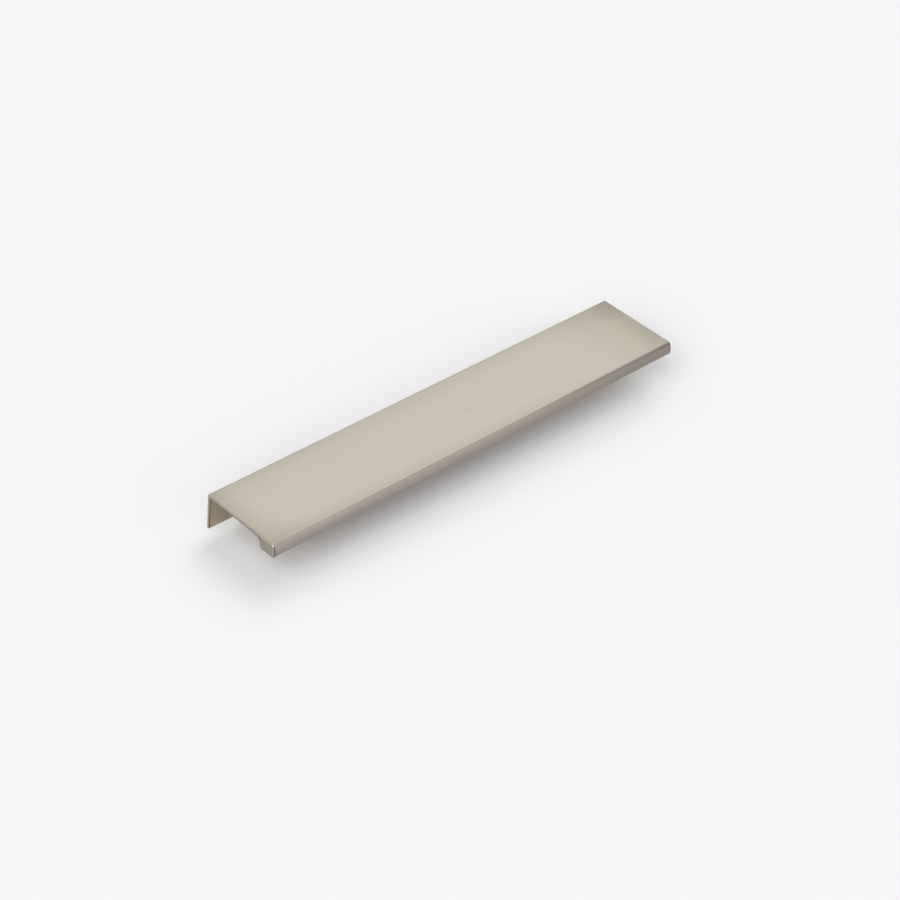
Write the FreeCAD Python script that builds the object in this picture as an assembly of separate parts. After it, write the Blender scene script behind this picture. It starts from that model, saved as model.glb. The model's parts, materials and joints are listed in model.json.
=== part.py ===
import FreeCAD, Part
import math
import os

# Tab pull: one metal section of constant shape. A flat plate lies over the top edge of a door or drawer
# front, a thin leg turns down at the back and takes the screws, and a solid lip turns down at the front.
# Millimetres. X runs along the pull, -Y faces the room and +Z is up.
# The origin is midway between the screw holes, on the face of the leg that lies against the door.

# Driving dimensions of the section
pull_length = 221.0
pull_depth = 40.0           # back of the leg to the front of the nose
plate_thickness = 1.5
leg_thickness = 1.5
leg_height = 16.5           # top of the plate to the foot of the leg
lip_height = 6.2            # top of the plate to the foot of the lip
lip_foot_width = 8.1        # front of the nose to the lip's inner flank, at the foot
flank_lean = 13.5           # degrees that the inner flank leans back from upright
crown_drop = 3.8            # top of the plate to the line where the nose stands furthest out
crease_setback = 1.0        # how far the nose falls back from that line up to the plate
foot_setback = 0.8          # and down to its foot

# Rounds of the section
back_edge_radius = 0.6      # plate to leg, outside
leg_root_radius = 0.4       # plate to leg, inside
leg_foot_radius = 0.6
crease_radius = 0.6         # plate to nose
nose_foot_radius = 0.9
flank_foot_radius = 1.0
flank_root_radius = 2.2     # flank of the lip to the underside of the plate

# Bevel round the two sawn ends, and the most that it and the round of the leg's foot may take
end_bevel = 0.5
foot_share = 0.4            # of the leg's thickness, for the round of its foot
end_share = 0.85            # of the tightest outer round, for the bevel of an end

# Countersunk screw holes, midway down the leg
screw_inset = 30.5          # end of the pull to the axis of the nearest screw
screw_hole_diameter = 4.2
countersink_angle = 90.0
countersink_land = 0.3      # straight wall left under the countersink

# Levels and faces of the section, measured from the screws' axis and the leg's seat
seat_height = leg_height - plate_thickness
end_x = pull_length / 2
screw_x = end_x - screw_inset
screw_z = 0.0
under_z = screw_z + seat_height / 2
top_z = under_z + plate_thickness
leg_foot_z = top_z - leg_height
lip_foot_z = top_z - lip_height
crown_z = top_z - crown_drop
seat_y = 0.0
back_y = seat_y + leg_thickness
nose_y = back_y - pull_depth
flank_foot_y = nose_y + lip_foot_width
flank_root_y = flank_foot_y + (under_z - lip_foot_z) * math.tan(math.radians(flank_lean))

# Corners of the section, each as y and z
back_edge = (back_y, top_z)
crease = (nose_y + crease_setback, top_z)
crown = (nose_y, crown_z)
nose_foot = (nose_y + foot_setback, lip_foot_z)
flank_foot = (flank_foot_y, lip_foot_z)
flank_root = (flank_root_y, under_z)
leg_root = (seat_y, under_z)
leg_foot_front = (seat_y, leg_foot_z)
leg_foot_back = (back_y, leg_foot_z)

# Radius of the round at each corner
leg_foot_round = min(leg_foot_radius, foot_share * leg_thickness)
outer_rounds = {
    back_edge: back_edge_radius,
    leg_foot_front: leg_foot_round,
    leg_foot_back: leg_foot_round,
    crease: crease_radius,
    nose_foot: nose_foot_radius,
    flank_foot: flank_foot_radius,
}
inner_rounds = {
    leg_root: leg_root_radius,
    flank_root: flank_root_radius,
}
end_break = min(end_bevel, end_share * min(outer_rounds.values()))

same_place = 1e-4           # how near two points are when they count as one


def on_end(corner):
    return FreeCAD.Vector(-end_x, corner[0], corner[1])


def side(start, end):
    return Part.LineSegment(on_end(start), on_end(end)).toShape()


def nose_arc(corner):
    # Arc that leaves the crown upright and ends at a corner of the nose
    setback = corner[0] - crown[0]
    rise = corner[1] - crown[1]
    radius = (setback ** 2 + rise ** 2) / (2 * setback)
    half_turn = math.atan2(setback, abs(rise))
    middle_y = crown[0] + radius * (1 - math.cos(half_turn))
    middle_z = crown[1] + math.copysign(radius * math.sin(half_turn), rise)
    return Part.Arc(on_end(crown), on_end((middle_y, middle_z)), on_end(corner)).toShape()


def section():
    # Square-cornered outline of the pull, with the nose as two arcs that meet smoothly at its crown
    around = [nose_foot, flank_foot, flank_root, leg_root, leg_foot_front, leg_foot_back, back_edge, crease]
    sides = [side(start, end) for start, end in zip(around, around[1:])]
    return Part.Face(Part.Wire([nose_arc(nose_foot)] + sides + [nose_arc(crease)]))


def edge_along(bar, corner):
    # The edge that runs the length of the pull at one corner of the section
    def at_corner(vertex):
        return math.hypot(vertex.Y - corner[0], vertex.Z - corner[1]) < same_place
    return [edge for edge in bar.Edges if all(at_corner(vertex) for vertex in edge.Vertexes)]


def with_rounded_corners(bar):
    for corner, radius in {**outer_rounds, **inner_rounds}.items():
        bar = bar.makeFillet(radius, edge_along(bar, corner))
    return bar


def with_bevelled_ends(bar):
    # The saw leaves a sharp edge round each end, which is broken at 45 degrees
    def on_an_end(edge):
        middle = edge.BoundBox.Center.x
        return edge.BoundBox.XLength < same_place and abs(abs(middle) - end_x) < same_place
    return bar.makeChamfer(end_break, [edge for edge in bar.Edges if on_an_end(edge)])


def screw_hole(x):
    # A straight hole from the seat, opened into a cone at the back for the head of the screw
    backwards = FreeCAD.Vector(0, 1, 0)
    hole_radius = screw_hole_diameter / 2
    sink_depth = leg_thickness - countersink_land
    sink_radius = hole_radius + sink_depth * math.tan(math.radians(countersink_angle / 2))
    sink_base = FreeCAD.Vector(x, seat_y + countersink_land, screw_z)
    hole = Part.makeCylinder(hole_radius, leg_thickness, FreeCAD.Vector(x, seat_y, screw_z), backwards)
    sink = Part.makeCone(hole_radius, sink_radius, sink_depth, sink_base, backwards)
    return hole.fuse(sink)


def tab_pull():
    bar = section().extrude(FreeCAD.Vector(pull_length, 0, 0))
    bar = with_bevelled_ends(with_rounded_corners(bar))
    for x in (-screw_x, screw_x):
        bar = bar.cut(screw_hole(x))
    return bar.removeSplitter().Solids[0]


os.makedirs("parts", exist_ok=True)
pull = tab_pull()
print("tab_pull", "valid" if pull.isValid() else "NOT VALID", round(pull.Volume, 1), "mm3")
print("size", pull.optimalBoundingBox(False))
pull.exportStep("parts/tab_pull.step")
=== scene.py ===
import bpy
import json
import math
from mathutils import Matrix, Vector


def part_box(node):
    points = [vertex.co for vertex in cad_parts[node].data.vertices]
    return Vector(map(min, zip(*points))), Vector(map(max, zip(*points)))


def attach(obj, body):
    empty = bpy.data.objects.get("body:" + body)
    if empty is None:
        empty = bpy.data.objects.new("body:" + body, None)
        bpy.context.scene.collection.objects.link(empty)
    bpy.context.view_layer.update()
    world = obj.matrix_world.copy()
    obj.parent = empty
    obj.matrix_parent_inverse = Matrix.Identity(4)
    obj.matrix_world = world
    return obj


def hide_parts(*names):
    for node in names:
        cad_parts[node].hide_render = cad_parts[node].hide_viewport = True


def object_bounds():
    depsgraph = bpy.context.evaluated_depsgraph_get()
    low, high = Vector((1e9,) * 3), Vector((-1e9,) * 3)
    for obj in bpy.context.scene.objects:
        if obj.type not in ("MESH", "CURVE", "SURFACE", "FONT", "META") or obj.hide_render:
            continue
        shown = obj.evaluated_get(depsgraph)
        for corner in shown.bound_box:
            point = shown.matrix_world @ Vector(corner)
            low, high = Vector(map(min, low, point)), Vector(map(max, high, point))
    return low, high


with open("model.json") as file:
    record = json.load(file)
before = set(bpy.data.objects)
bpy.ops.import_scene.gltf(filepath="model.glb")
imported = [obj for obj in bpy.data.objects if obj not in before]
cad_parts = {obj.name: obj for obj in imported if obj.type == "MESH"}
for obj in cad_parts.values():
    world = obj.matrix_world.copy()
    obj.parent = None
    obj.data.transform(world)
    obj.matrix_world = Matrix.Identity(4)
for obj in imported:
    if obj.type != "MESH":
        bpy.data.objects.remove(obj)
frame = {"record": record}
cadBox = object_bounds()
mm = 0.001
pullLow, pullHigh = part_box("tab_pull")
print("frame loaded, pull is", [round(side / mm, 2) for side in pullHigh - pullLow], "mm")


# shared by the node trees: inputs may be plain values or other nodes' sockets
def put(tree, kind, inputs=None, **settings):
    node = tree.nodes.new(kind)
    for name, value in settings.items():
        setattr(node, name, value)
    for key, value in (inputs or {}).items():
        if isinstance(value, bpy.types.NodeSocket):
            tree.links.new(value, node.inputs[key])
        else:
            node.inputs[key].default_value = value
    return node


def sums(tree, operation, *values):
    return put(tree, "ShaderNodeMath", dict(enumerate(values)), operation=operation).outputs[0]


def vectors(tree, operation, *values):
    return put(tree, "ShaderNodeVectorMath", dict(enumerate(values)), operation=operation).outputs[0]


def scaled(tree, vector, amount):
    return put(tree, "ShaderNodeVectorMath", {0: vector, "Scale": amount}, operation="SCALE").outputs[0]


def axes(tree, vector):
    return put(tree, "ShaderNodeSeparateXYZ", {0: vector}).outputs


def joined(tree, **parts):
    return put(tree, "ShaderNodeCombineXYZ", parts).outputs[0]


# the pull's section, in mm; overall sizes come from the frame
section = {
    "plateThick": 1.5,
    "legThick": 1.5,
    "lipTall": 6.2,          # top of the plate to the lip's foot
    "lipFootWide": 8.1,
    "flankLean": 13.5,       # degrees, the lip's inner side
    "crownDrop": 3.8,        # top of the plate to where the nose stands furthest out
    "creaseSetback": 1.0,
    "footSetback": 0.8,
    "backEdgeRound": 0.6,
    "creaseRound": 0.6,
    "noseFootRound": 0.9,
    "flankFootRound": 1.0,
    "flankRootRound": 2.2,
    "legRootRound": 0.4,
    "legFootRound": 0.6,
    "cornerStep": 9.0,       # degrees of arc per edge on the small rounds
    "noseStep": 2.5,
}


def arc(centre, radius, start, end, step):
    steps = math.ceil(abs(end - start) / step)
    angles = [math.radians(start + (end - start) * i / steps) for i in range(steps + 1)]
    return [centre + radius * Vector((math.cos(angle), math.sin(angle))) for angle in angles]


def heading(degrees):
    return Vector((math.cos(math.radians(degrees)), math.sin(math.radians(degrees))))


# rounds the corner where the outline turns from one heading to another, left turns stand out
def roundedCorner(corner, headingIn, headingOut, radius):
    turn = headingOut - headingIn
    side = math.copysign(1, turn)
    start = Vector(corner) - heading(headingIn) * radius * math.tan(math.radians(abs(turn) / 2))
    centre = start + heading(headingIn + 90) * radius * side
    return arc(centre, radius, headingIn - 90 * side, headingOut - 90 * side, section["cornerStep"])


# half of the nose: a wide arc upright at the crown, then a small round into the level above or below
def halfNose(crown, setback, level, roundRadius):
    rise = level - crown.y
    wide = (setback ** 2 + rise ** 2) / (2 * setback)
    wideCentre = crown + Vector((wide, 0))
    roundHeight = rise - math.copysign(roundRadius, rise)
    roundCentre = wideCentre + Vector((-math.sqrt((wide - roundRadius) ** 2 - roundHeight ** 2), roundHeight))
    meet = 180 - math.degrees(math.asin(roundHeight / (wide - roundRadius)))
    upright = 180 - math.copysign(90, rise)
    small = arc(roundCentre, roundRadius, upright, meet, section["cornerStep"])
    return small + arc(wideCentre, wide, meet, 180, section["noseStep"])[1:]


# outline in y and z, from the back edge over the top, round the nose and back along the underside,
# with two marks on each point: whether it is on the nose, and whether it is inside the channel
def pullOutline():
    back, top = pullHigh.y / mm, pullHigh.z / mm
    front, foot = pullLow.y / mm, pullLow.z / mm
    under = top - section["plateThick"]
    seat = back - section["legThick"]
    lipFoot = top - section["lipTall"]
    crown = Vector((front, top - section["crownDrop"]))
    flankFoot = front + section["lipFootWide"]
    flankRoot = flankFoot + (under - lipFoot) * math.tan(math.radians(section["flankLean"]))
    flankUp = 90 - section["flankLean"]
    upperNose = halfNose(crown, section["creaseSetback"], top, section["creaseRound"])
    lowerNose = halfNose(crown, section["footSetback"], lipFoot, section["noseFootRound"])
    outside = roundedCorner((back, top), 90, 180, section["backEdgeRound"])
    nose = upperNose + lowerNose[-2::-1]
    channel = roundedCorner((flankFoot, lipFoot), 0, flankUp, section["flankFootRound"])
    channel += roundedCorner((flankRoot, under), flankUp, 0, section["flankRootRound"])
    channel += roundedCorner((seat, under), 0, -90, section["legRootRound"])
    channel += roundedCorner((seat, foot), -90, 0, section["legFootRound"])
    legFoot = roundedCorner((back, foot), 0, 90, section["legFootRound"])
    points = outside + nose + channel + legFoot
    noseMark = [0.0] * len(outside) + [1.0] * len(nose) + [0.0] * len(channel + legFoot)
    channelMark = [0.0] * len(outside + nose) + [1.0] * len(channel) + [0.0] * len(legFoot)
    return points, noseMark, channelMark


# a ring of edges, drawn the way a rail along +X carries it: x forward, y down
def outlineObject():
    points, noseMark, channelMark = pullOutline()
    count = len(points)
    mesh = bpy.data.meshes.new("pullOutline")
    corners = [(-point.x * mm, -point.y * mm, 0) for point in points]
    mesh.from_pydata(corners, [(i, (i + 1) % count) for i in range(count)], [])
    mesh.attributes.new("nose", "FLOAT", "POINT").data.foreach_set("value", noseMark)
    mesh.attributes.new("channel", "FLOAT", "POINT").data.foreach_set("value", channelMark)
    outline = bpy.data.objects.new("pullOutline", mesh)
    bpy.context.scene.collection.objects.link(outline)
    print("section outline has", count, "points")
    return outline


holes = next(mount for mount in frame["record"]["mounts"] if mount["name"] == "screw_holes")
sweep = {
    "Length": pullHigh.x - pullLow.x,
    "End Bevel": 0.5 * mm,
    "Steps": 11,             # on each half of the length
    "Hole Spacing": holes["dims"]["spacing_x_mm"] * mm,
    "Hole Radius": holes["dims"]["hole_r_mm"] * mm,
    "Hole Sides": 72,
    "Seat": pullHigh.y - section["legThick"] * mm,
    "Leg Thick": section["legThick"] * mm,
    "Sink Land": 0.3 * mm,   # straight wall under the countersink
    "Sink Slope": 1.0,       # widening per depth, 90 degrees in all
    "Cut Past": 2.0 * mm,    # how far the cutters run past the leg
    "Crisp Angle": math.radians(35),
    "End Facing": 0.9,       # share of a normal along the pull, on a sawn end
}


def sweepTree():
    tree = bpy.data.node_groups.new("sweptPull", "GeometryNodeTree")
    panel = tree.interface
    panel.new_socket("Geometry", in_out="INPUT", socket_type="NodeSocketGeometry")
    for name, value in sweep.items():
        kind = "NodeSocketInt" if isinstance(value, int) else "NodeSocketFloat"
        panel.new_socket(name, in_out="INPUT", socket_type=kind)
    panel.new_socket("Finish", in_out="INPUT", socket_type="NodeSocketMaterial")
    panel.new_socket("Geometry", in_out="OUTPUT", socket_type="NodeSocketGeometry")
    given = tree.nodes.new("NodeGroupInput").outputs

    # profile, remembering which way is out and how far round each point is
    profile = put(tree, "GeometryNodeMeshToCurve", {"Mesh": given["Geometry"]})
    tangent = put(tree, "GeometryNodeInputTangent").outputs[0]
    marked = put(tree, "GeometryNodeCaptureAttribute", {"Geometry": profile.outputs[0]})
    marked.capture_items.new("VECTOR", "outward")
    marked.capture_items.new("FLOAT", "around")
    tree.links.new(vectors(tree, "CROSS_PRODUCT", tangent, (0, 0, 1)), marked.inputs["outward"])
    tree.links.new(put(tree, "GeometryNodeSplineParameter").outputs["Length"], marked.inputs["around"])

    # rail stations: even along the bar, and one more at each end for the bevel
    perHalf = sums(tree, "ADD", given["Steps"], 1.0)
    stations = sums(tree, "MULTIPLY_ADD", perHalf, 2.0, 1.0)
    rail = put(tree, "GeometryNodeCurvePrimitiveLine", {"Start": (-1, 0, 0), "End": (1, 0, 0)})
    rail = put(tree, "GeometryNodeResampleCurve", {"Curve": rail.outputs[0], "Count": stations})
    place = put(tree, "GeometryNodeInputPosition").outputs[0]
    share = axes(tree, place)["X"]
    step = sums(tree, "MULTIPLY", sums(tree, "ABSOLUTE", share), perHalf)
    middle = sums(tree, "MINIMUM", sums(tree, "DIVIDE", step, given["Steps"]), 1.0)
    past = sums(tree, "MAXIMUM", sums(tree, "SUBTRACT", step, given["Steps"]), 0.0)
    inset = sums(tree, "MULTIPLY", past, given["End Bevel"])
    bevelStart = sums(tree, "SUBTRACT", sums(tree, "MULTIPLY", given["Length"], 0.5), given["End Bevel"])
    reach = sums(tree, "MULTIPLY_ADD", bevelStart, middle, inset)
    reach = sums(tree, "MULTIPLY", reach, sums(tree, "SIGN", share))
    railMarked = put(tree, "GeometryNodeCaptureAttribute", {"Geometry": rail.outputs[0]})
    railMarked.capture_items.new("FLOAT", "inset")
    tree.links.new(inset, railMarked.inputs["inset"])
    rail = put(tree, "GeometryNodeSetPosition", {
        "Geometry": railMarked.outputs["Geometry"],
        "Position": joined(tree, X=reach),
    })

    # the bar, with its end rings drawn in to bevel the ends
    bar = put(tree, "GeometryNodeCurveToMesh", {
        "Curve": rail.outputs[0],
        "Profile Curve": marked.outputs["Geometry"],
        "Fill Caps": True,
    })
    out = axes(tree, marked.outputs["outward"])
    inwards = joined(tree, Y=out["X"], Z=out["Y"])
    bar = put(tree, "GeometryNodeSetPosition", {
        "Geometry": bar.outputs[0],
        "Offset": scaled(tree, inwards, railMarked.outputs["inset"]),
    })

    # grain map: across the brushing, then along it; a sawn end is mapped flat
    at = axes(tree, place)
    normal = put(tree, "GeometryNodeInputNormal").outputs[0]
    facingEnd = sums(tree, "ABSOLUTE", axes(tree, normal)["X"])
    sawn = put(tree, "FunctionNodeCompare", {
        "A": facingEnd,
        "B": given["End Facing"],
    }, operation="GREATER_THAN")
    onEnd = put(tree, "GeometryNodeFieldOnDomain", {0: sawn.outputs[0]}, data_type="BOOLEAN", domain="FACE")
    grain = put(tree, "GeometryNodeSwitch", {
        "Switch": onEnd.outputs[0],
        "False": joined(tree, X=marked.outputs["around"], Y=at["X"]),
        "True": joined(tree, X=at["Y"], Y=at["Z"]),
    }, input_type="VECTOR")
    bar = put(tree, "GeometryNodeStoreNamedAttribute", {
        "Geometry": bar.outputs[0],
        "Name": "grain",
        "Value": grain.outputs[0],
    }, data_type="FLOAT2", domain="CORNER")

    # one countersunk cutter, set on both screw places
    hole = put(tree, "GeometryNodeMeshCylinder", {
        "Vertices": given["Hole Sides"],
        "Radius": given["Hole Radius"],
        "Depth": sums(tree, "MULTIPLY_ADD", given["Cut Past"], 2.0, given["Leg Thick"]),
    })
    sinkDepth = sums(tree, "SUBTRACT", given["Leg Thick"], given["Sink Land"])
    sinkDepth = sums(tree, "ADD", sinkDepth, given["Cut Past"])
    sink = put(tree, "GeometryNodeMeshCone", {
        "Vertices": given["Hole Sides"],
        "Radius Bottom": given["Hole Radius"],
        "Radius Top": sums(tree, "MULTIPLY_ADD", sinkDepth, given["Sink Slope"], given["Hole Radius"]),
        "Depth": sinkDepth,
    })
    sink = put(tree, "GeometryNodeTransform", {
        "Geometry": sink.outputs[0],
        "Translation": joined(tree, Z=given["Sink Land"]),
    })
    cutter = put(tree, "GeometryNodeMeshBoolean", operation="UNION", solver="EXACT")
    tree.links.new(hole.outputs[0], cutter.inputs["Mesh 2"])
    tree.links.new(sink.outputs[0], cutter.inputs["Mesh 2"])
    firstHole = sums(tree, "MULTIPLY", given["Hole Spacing"], -0.5)
    places = put(tree, "GeometryNodeMeshLine", {
        "Count": 2,
        "Start Location": joined(tree, X=firstHole, Y=given["Seat"]),
        "Offset": joined(tree, X=given["Hole Spacing"]),
    })
    cutters = put(tree, "GeometryNodeInstanceOnPoints", {
        "Points": places.outputs[0],
        "Instance": cutter.outputs[0],
        "Rotation": (math.radians(-90), 0, 0),   # its axis along +Y, wide end at the back
    })
    cutters = put(tree, "GeometryNodeRealizeInstances", {"Geometry": cutters.outputs[0]})
    bored = put(tree, "GeometryNodeMeshBoolean", {
        "Mesh 1": bar.outputs[0],
        "Mesh 2": cutters.outputs[0],
    }, operation="DIFFERENCE", solver="EXACT")

    # smooth all over, crisp at the bevels and the rims of the holes
    smooth = put(tree, "GeometryNodeSetShadeSmooth", {
        "Geometry": bored.outputs[0],
        "Shade Smooth": True,
    }, domain="FACE")
    bend = put(tree, "GeometryNodeInputMeshEdgeAngle").outputs["Unsigned Angle"]
    smooth = put(tree, "GeometryNodeSetShadeSmooth", {
        "Geometry": smooth.outputs[0],
        "Selection": sums(tree, "GREATER_THAN", bend, given["Crisp Angle"]),
        "Shade Smooth": False,
    }, domain="EDGE")
    whole = put(tree, "GeometryNodeRealizeInstances", {"Geometry": smooth.outputs[0]})
    dressed = put(tree, "GeometryNodeSetMaterial", {
        "Geometry": whole.outputs[0],
        "Material": given["Finish"],
    })
    put(tree, "NodeGroupOutput", {"Geometry": dressed.outputs[0]})
    return tree


def buildPull(finish):
    outline = outlineObject()
    tree = sweepTree()
    swept = outline.modifiers.new("sweptPull", "NODES")
    swept.node_group = tree
    given = {**sweep, "Finish": finish}
    for item in tree.interface.items_tree:
        if item.in_out == "INPUT" and item.name in given:
            swept[item.identifier] = given[item.name]
    weighted = outline.modifiers.new("flatFaces", "WEIGHTED_NORMAL")
    weighted.keep_sharp = True
    whole = outline.evaluated_get(bpy.context.evaluated_depsgraph_get())
    mesh = bpy.data.meshes.new_from_object(whole)
    mesh.name = "brushedPull"
    bpy.data.objects.remove(outline)
    pull = bpy.data.objects.new("brushedPull", mesh)
    bpy.context.scene.collection.objects.link(pull)
    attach(pull, "root")
    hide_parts("tab_pull")
    print("pull swept,", len(mesh.vertices), "points and", len(mesh.polygons), "faces")


# lengths in mm; a pair is for the left end and the right where nothing else is said
nickel = {
    "brushed": (0.477, 0.442, 0.398, 1),
    "leftEndShade": (0.413, 0.382, 0.337, 1),   # painted shade: what the plate darkens to at its two ends
    "rightEndShade": (0.432, 0.398, 0.347, 1),
    "leftFade": (28.0, 11.0),              # reach of the left end's painted shade, at the nose and further back
    "leftFadeTurn": 16.0,                  # width behind the nose over which that reach changes
    "rightFade": 44.0,                     # reach of the right one
    "rightCorner": 0.90,                   # painted shade: level at the right of the back edge
    "rightCornerReach": (4.0, 20.0),       # over which that ends, in from the back
    "rightEdge": 0.83,                     # painted shade: level right beside the right end
    "rightEdgeFade": 15.0,
    "backFade": 0.92,                      # painted shade: level at the back edge
    "backFadeWidth": 10.0,
    "backLine": 0.90,                      # painted shade: level of the edge's round
    "backLineReach": (0.5, 0.9),           # where the line ends, in from the back
    "creaseFade": (0.88, 1.0),             # painted shade: level at the crease
    "creaseFadeWidth": 8.0,
    "plateDepth": (0.2, 2.0),              # over which these levels end, down from the top
    # painted shade: the nose's tones, darker than the plate, and darker at the right than at the left
    "noseLeft": (0.408, 0.359, 0.309, 1),
    "noseRight": (0.308, 0.269, 0.233, 1),
    "noseTurn": 5.0,                       # where along the pull the one starts to give way to the other
    "noseStart": 2.4,                      # back from the nose's front, where its tone starts on the plate
    "noseBlend": (5.0, 1.6),               # from there to its full tone
    "noseCrisp": (-80.0, 60.0),            # where along the pull that width changes
    "noseShadeLeft": (1.08, 0.86),         # painted highlight at the crease and painted shade low on the nose: their levels
    "noseShadeRight": (1.06, 0.92),
    "noseShadeDepth": (0.3, 3.4),
    "creaseLine": (1.18, 0.92),            # painted highlight on the crease's round at the left, painted shade at the right: its level
    "creaseLineDepth": (0.6, 1.4),
    "channel": (0.48, 0.414, 0.300, 1),    # inner faces of the lip, the plate and the leg, in a painted warm reflection
    "bevel": (0.47, 0.428, 0.367, 1),
    "bevelOverChannel": (0.96, 0.74),      # painted shade: level of the bevel where the plate is thin, at its start and end
    "bevelOnTop": 1.12,                    # painted highlight: its level all along the plate's top
    "sideDepth": (0.5, 0.9),               # where bevel and line go from the plate to the sides below it
    "lineLevel": (0.82, 0.32),             # painted shade: thin dark line where a bevel starts, its level on the plate and below it
    "lineOverChannel": 0.95,               # its level where the plate is thin
    "lineTint": (1.0, 0.89, 0.72, 1),      # its tint below the plate
    "lineAlong": (0.25, 0.70),             # how far it reaches along the pull
    "lineOnPlateBevel": 0.22,              # and onto the plate's bevel
    "lineOnSideBevel": (0.40, 0.30),       # and those of the sides, at the nose and at the leg
    "lineCore": 0.4,                       # share of each reach that is darkest
    # sawn ends: partly their own duller tone, partly painted shade
    "sawn": (0.350, 0.311, 0.254, 1),
    "sawnRim": 1.22,                       # painted highlight: level of a sawn end beside the nose
    "sawnEdge": 0.56,                      # painted shade: its level beside the channel
    "sawnMargin": 0.6,                     # width of both
    "sawnSlack": (0.03, 0.01),             # in from the end, where the bevel gives way to the sawn face
    "roughness": 0.34,
    "roughnessSpread": 0.2,
    "brushing": {                          # lines per mm across, length to width, change of level
        "fine": (2.4, 34.0, 0.215),
        "middle": (0.8, 26.0, 0.075),
        "broad": (0.10, 7.0, 0.065),
    },
    "brushDetail": 2.0,
    "brushDepth": 0.002,                   # of the scratches
    "anisotropy": 0.6,
}


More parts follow.
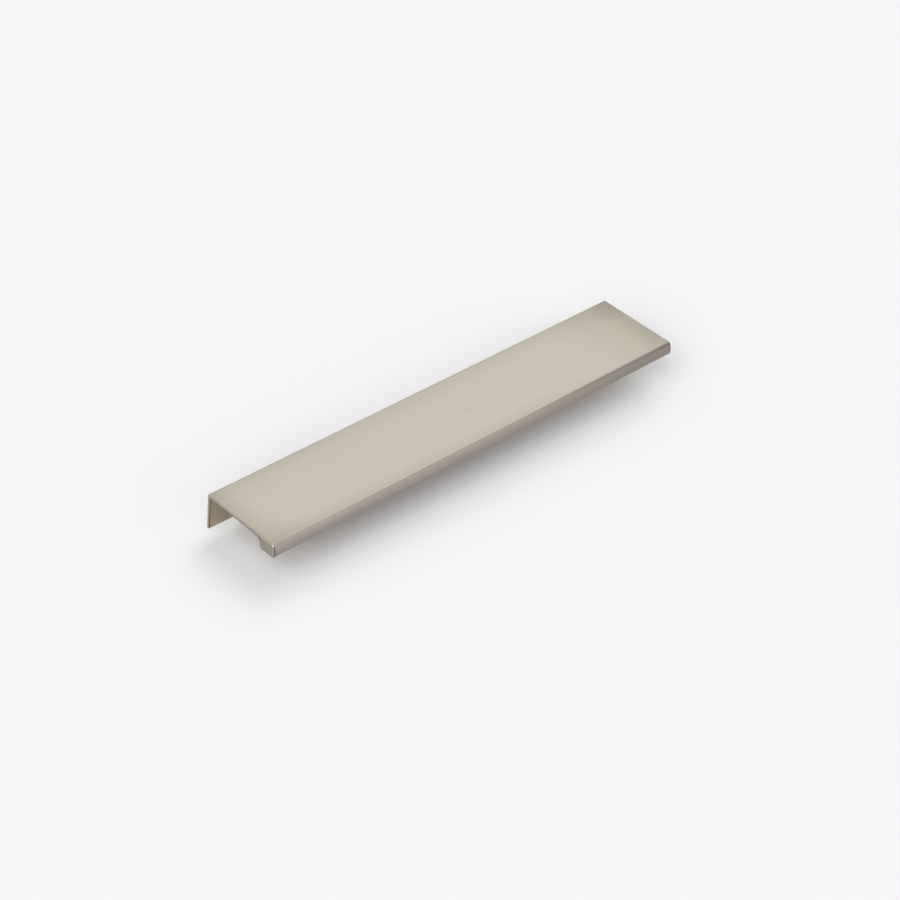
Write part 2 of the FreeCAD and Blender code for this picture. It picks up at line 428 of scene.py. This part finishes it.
def brushedNickel():
    finish = bpy.data.materials.new("brushedNickel")
    finish.use_nodes = True
    tree = finish.node_tree
    shader = tree.nodes["Principled BSDF"]
    place = put(tree, "ShaderNodeTexCoord").outputs["Object"]
    at = axes(tree, place)

    def lengths(name):
        return [length * mm for length in nickel[name]]

    def ramp(value, start, end, low=0.0, high=1.0):
        limits = {"Value": value, "From Min": start, "From Max": end, "To Min": low, "To Max": high}
        return put(tree, "ShaderNodeMapRange", limits, interpolation_type="SMOOTHSTEP").outputs[0]

    # a Mix node has sockets of every kind, so they go by number
    def blend(share, under, over):
        return put(tree, "ShaderNodeMix", {0: share, 6: under, 7: over}, data_type="RGBA").outputs[2]

    def between(share, low, high):
        return put(tree, "ShaderNodeMix", {0: share, 2: low, 3: high}).outputs[0]

    def times(one, other):
        return sums(tree, "MULTIPLY", one, other)

    def less(one, other):
        return sums(tree, "SUBTRACT", one, other)

    def mark(name):
        return put(tree, "ShaderNodeAttribute", attribute_name=name).outputs["Fac"]

    # lines drawn out along the pull, at three sizes
    lines = {}
    level = 1.0
    for name, (perMm, stretch, change) in nickel["brushing"].items():
        across = perMm / mm
        drawn = put(tree, "ShaderNodeMapping", {"Vector": place, "Scale": (across / stretch, across, across)})
        streaks = {"Vector": drawn.outputs[0], "Scale": 1.0, "Detail": nickel["brushDetail"]}
        noise = put(tree, "ShaderNodeTexNoise", streaks).outputs[0]
        lines[name] = less(noise, 0.5)   # evenly about zero
        level = sums(tree, "MULTIPLY_ADD", lines[name], change, level)

    # painted shade: the plate is darker towards its back edge, its right end and, at the left, its crease
    end, back, front, top = pullHigh.x, pullHigh.y, pullLow.y, pullHigh.z
    depth = less(top, at["Z"])
    toRight = ramp(at["X"], nickel["noseTurn"] * mm, end)
    toEnd = ramp(at["X"], end - nickel["rightFade"] * mm, end)
    paintedShade = ramp(at["Y"], back - nickel["backFadeWidth"] * mm, back, 1.0, nickel["backFade"])
    start, stop = lengths("backLineReach")
    paintedShade = times(paintedShade, ramp(at["Y"], back - stop, back - start, 1.0, nickel["backLine"]))
    creaseShade = between(toRight, *nickel["creaseFade"])
    crease = front + section["creaseSetback"] * mm
    paintedShade = times(paintedShade, ramp(at["Y"], crease, front + nickel["creaseFadeWidth"] * mm, creaseShade, 1.0))
    start, stop = lengths("rightCornerReach")
    toBack = ramp(at["Y"], back - stop, back - start)
    paintedShade = times(paintedShade, between(times(toEnd, toBack), 1.0, nickel["rightCorner"]))
    paintedShade = times(paintedShade, ramp(at["X"], end - nickel["rightEdgeFade"] * mm, end, 1.0, nickel["rightEdge"]))
    level = times(level, between(ramp(depth, *lengths("plateDepth")), paintedShade, 1.0))

    # tones of the plate, the nose and the channel, all painted light: shade at the plate's ends, shade and
    # highlight on the nose, a warm reflection in the channel
    byNose, furtherBack = lengths("leftFade")
    leftReach = ramp(at["Y"], front, front + nickel["leftFadeTurn"] * mm, byNose, furtherBack)
    fromLeft = sums(tree, "ADD", at["X"], end)
    metal = blend(ramp(fromLeft, 0.0, leftReach), nickel["leftEndShade"], nickel["brushed"])
    metal = blend(toEnd, metal, nickel["rightEndShade"])
    blendWidth = ramp(at["X"], *lengths("noseCrisp"), *lengths("noseBlend"))
    forward = sums(tree, "MAXIMUM", less(front + nickel["noseStart"] * mm, at["Y"]), 0.0)
    roundNose = sums(tree, "ADD", depth, forward)
    onNose = times(ramp(roundNose, 0.0, blendWidth), mark("nose"))
    metal = blend(onNose, metal, blend(toRight, nickel["noseLeft"], nickel["noseRight"]))
    # painted highlight high on the nose, painted shade low on it
    downNose = ramp(depth, *lengths("noseShadeDepth"))
    shadeLeft = between(downNose, *nickel["noseShadeLeft"])
    shadeRight = between(downNose, *nickel["noseShadeRight"])
    shade = between(toRight, shadeLeft, shadeRight)
    # painted highlight on the crease's round at the left, painted shade there at the right
    creaseLine = between(toRight, *nickel["creaseLine"])
    shade = times(shade, between(ramp(depth, *lengths("creaseLineDepth")), creaseLine, 1.0))
    level = times(level, between(onNose, 1.0, shade))
    # painted warm reflection on the channel's inner faces
    metal = blend(mark("channel"), metal, nickel["channel"])

    # distances on a sawn end: from the lip's flank, from the whole channel, and from the nose
    margin = nickel["sawnMargin"] * mm
    overFoot = less(at["Z"], top - section["lipTall"] * mm)
    lean = math.tan(math.radians(section["flankLean"]))
    flank = sums(tree, "MULTIPLY_ADD", overFoot, lean, front + section["lipFootWide"] * mm)
    fromFlank = less(flank, at["Y"])
    overChannel = less(section["plateThick"] * mm, depth)
    fromChannel = sums(tree, "MINIMUM", sums(tree, "MAXIMUM", overChannel, fromFlank), overFoot)
    onLeg = less(at["Y"], back - section["legThick"] * mm - margin)
    fromChannel = sums(tree, "MAXIMUM", fromChannel, onLeg)
    fromCrown = less(depth, section["crownDrop"] * mm)
    bulge = section["creaseSetback"] / section["crownDrop"] ** 2 / mm   # the nose's arc, nearly
    setback = times(times(fromCrown, fromCrown), bulge)
    fromNose = less(less(at["Y"], front), setback)

    # the bevelled and sawn ends aren't brushed; the sawn tone is partly its own, partly painted shade; bevels
    # get a painted highlight along the top and painted shade over the channel, sawn faces a painted highlight
    # beside the nose and painted shade beside the channel
    near, hair = lengths("sawnSlack")
    wide = sweep["End Bevel"]
    fromMiddle = sums(tree, "ABSOLUTE", at["X"])
    outside = less(fromMiddle, end - wide)
    onEnd = sums(tree, "GREATER_THAN", fromMiddle, end - wide + hair)
    onSawn = ramp(fromMiddle, end - near, end - hair)
    downSide = ramp(depth, *lengths("sideDepth"))
    overLip = ramp(fromFlank, -margin, margin)
    metal = blend(onEnd, metal, nickel["bevel"])
    metal = blend(onSawn, metal, nickel["sawn"])
    sawnHighlightAndShade = ramp(fromChannel, wide, wide + margin, nickel["sawnEdge"], 1.0)
    sawnHighlightAndShade = times(sawnHighlightAndShade, ramp(fromNose, wide, wide + margin, nickel["sawnRim"], 1.0))
    bevelHighlightAndShade = between(overLip, ramp(outside, 0.0, wide, *nickel["bevelOverChannel"]), 1.0)
    bevelHighlightAndShade = times(bevelHighlightAndShade, between(downSide, nickel["bevelOnTop"], 1.0))
    level = between(onEnd, level, between(onSawn, bevelHighlightAndShade, sawnHighlightAndShade))

    # painted shade: a thin dark line where a bevel starts, warm below the plate
    core = nickel["lineCore"]
    inside = less(end - wide, fromMiddle)
    along = ramp(at["X"], -end, end, *lengths("lineAlong"))
    shadeLine = ramp(inside, times(along, core), along, 1.0, 0.0)
    onSide = ramp(at["Y"], front, back, *lengths("lineOnSideBevel"))
    onBevel = between(downSide, nickel["lineOnPlateBevel"] * mm, onSide)
    shadeLine = times(shadeLine, ramp(outside, times(onBevel, core), onBevel, 1.0, 0.0))
    onPlate, below = nickel["lineLevel"]
    onPlate = between(overLip, nickel["lineOverChannel"], onPlate)
    level = times(level, between(shadeLine, 1.0, between(downSide, onPlate, below)))
    untinted = (1, 1, 1, 1)
    metal = vectors(tree, "MULTIPLY", metal, blend(times(shadeLine, downSide), untinted, nickel["lineTint"]))

    tree.links.new(scaled(tree, metal, level), shader.inputs["Base Color"])
    rough = sums(tree, "MULTIPLY_ADD", lines["fine"], nickel["roughnessSpread"], nickel["roughness"])
    tree.links.new(rough, shader.inputs["Roughness"])
    scratched = {"Height": lines["fine"], "Distance": nickel["brushDepth"] * mm, "Strength": 1.0}
    tree.links.new(put(tree, "ShaderNodeBump", scratched).outputs[0], shader.inputs["Normal"])
    shader.inputs["Metallic"].default_value = 1.0
    shader.inputs["Anisotropic"].default_value = nickel["anisotropy"]
    grain = put(tree, "ShaderNodeTangent", direction_type="UV_MAP", uv_map="grain").outputs[0]
    tree.links.new(grain, shader.inputs["Tangent"])
    print("finish brushedNickel made")
    return finish


studio = {
    "floorColour": (0.857, 0.857, 0.857, 1),
    "floorHalf": 30.0,       # wide, so that low views see little sky
    "floorDrop": 5.0 * mm,   # room under the leg, as a thin stand leaves
    "tent": (0.33, 0.323, 0.356),   # even light from all round, a little cool
    "softLights": {          # degrees round from +X, up, and to the edge of the glow; its strength and colour
        "besideCamera": (206.0, 39.0, 37.0, 3.85, (1.0, 1.008, 1.018)),
        "overRight": (25.0, 53.0, 35.0, 1.58, (1.0, 1.0, 0.89)),
        "behindLeft": (140.0, 40.0, 30.0, 0.45, (1.0, 1.0, 0.89)),
        "lowFront": (283.0, 14.0, 38.0, 0.92, (1.0, 1.008, 1.018)),
    },
}


def paleFloor():
    half = studio["floorHalf"]
    level = cadBox[0].z - studio["floorDrop"]
    mesh = bpy.data.meshes.new("paleFloor")
    corners = [(-half, -half, level), (half, -half, level), (half, half, level), (-half, half, level)]
    mesh.from_pydata(corners, [], [(0, 1, 2, 3)])
    floor = bpy.data.objects.new("paleFloor", mesh)
    bpy.context.scene.collection.objects.link(floor)
    paint = bpy.data.materials.new("palePaint")
    paint.use_nodes = True
    shader = paint.node_tree.nodes["Principled BSDF"]
    shader.inputs["Base Color"].default_value = studio["floorColour"]
    shader.inputs["Roughness"].default_value = 1.0
    shader.inputs["Specular IOR Level"].default_value = 0.0
    mesh.materials.append(paint)
    print("floor laid")


def studioSky():
    sky = bpy.data.worlds.new("studioSky")
    bpy.context.scene.world = sky
    sky.use_nodes = True
    tree = sky.node_tree
    look = put(tree, "ShaderNodeTexCoord").outputs["Generated"]
    light = studio["tent"]
    for azimuth, elevation, spread, strength, colour in studio["softLights"].values():
        flat = heading(azimuth) * math.cos(math.radians(elevation))
        towards = Vector((flat.x, flat.y, math.sin(math.radians(elevation))))
        facing = put(tree, "ShaderNodeVectorMath", {0: look, 1: towards}, operation="DOT_PRODUCT")
        glow = put(tree, "ShaderNodeMapRange", {
            "Value": facing.outputs["Value"],
            "From Min": math.cos(math.radians(spread)),
            "To Max": strength,
        }, interpolation_type="SMOOTHSTEP")
        light = vectors(tree, "ADD", scaled(tree, colour, glow.outputs[0]), light)
    tree.links.new(light, tree.nodes["Background"].inputs["Color"])
    print("studio sky made")


photoView = {
    "aim": (-5.556 * mm, -25.112 * mm, -2.210 * mm),
    "azimuth": -46.676,      # degrees from straight in front
    "elevation": 37.425,
    "roll": 5.719,
    "distance": 1.09847,
    "lens": 108.494,
    "sensor": 36.0,
    "farthest": 50.0,
}


def photoCamera():
    azimuth, elevation, roll = (math.radians(photoView[name]) for name in ("azimuth", "elevation", "roll"))
    flat = math.cos(elevation)
    away = Vector((math.sin(azimuth) * flat, -math.cos(azimuth) * flat, math.sin(elevation)))
    right = Vector((0, 0, 1)).cross(away).normalized()
    up = away.cross(right)
    rolledRight = right * math.cos(roll) + up * math.sin(roll)
    rolledUp = up * math.cos(roll) - right * math.sin(roll)
    turned = Matrix((rolledRight, rolledUp, away)).transposed().to_4x4()
    stand = Vector(photoView["aim"]) + away * photoView["distance"]
    data = bpy.data.cameras.new("photoCamera")
    data.lens = photoView["lens"]
    data.sensor_width = photoView["sensor"]
    data.clip_end = photoView["farthest"]
    camera = bpy.data.objects.new("photoCamera", data)
    camera.matrix_world = Matrix.Translation(stand) @ turned
    bpy.context.scene.collection.objects.link(camera)
    bpy.context.scene.camera = camera
    print("camera set")


buildPull(brushedNickel())
paleFloor()
studioSky()
photoCamera()
bpy.context.scene.view_settings.view_transform = "Standard"
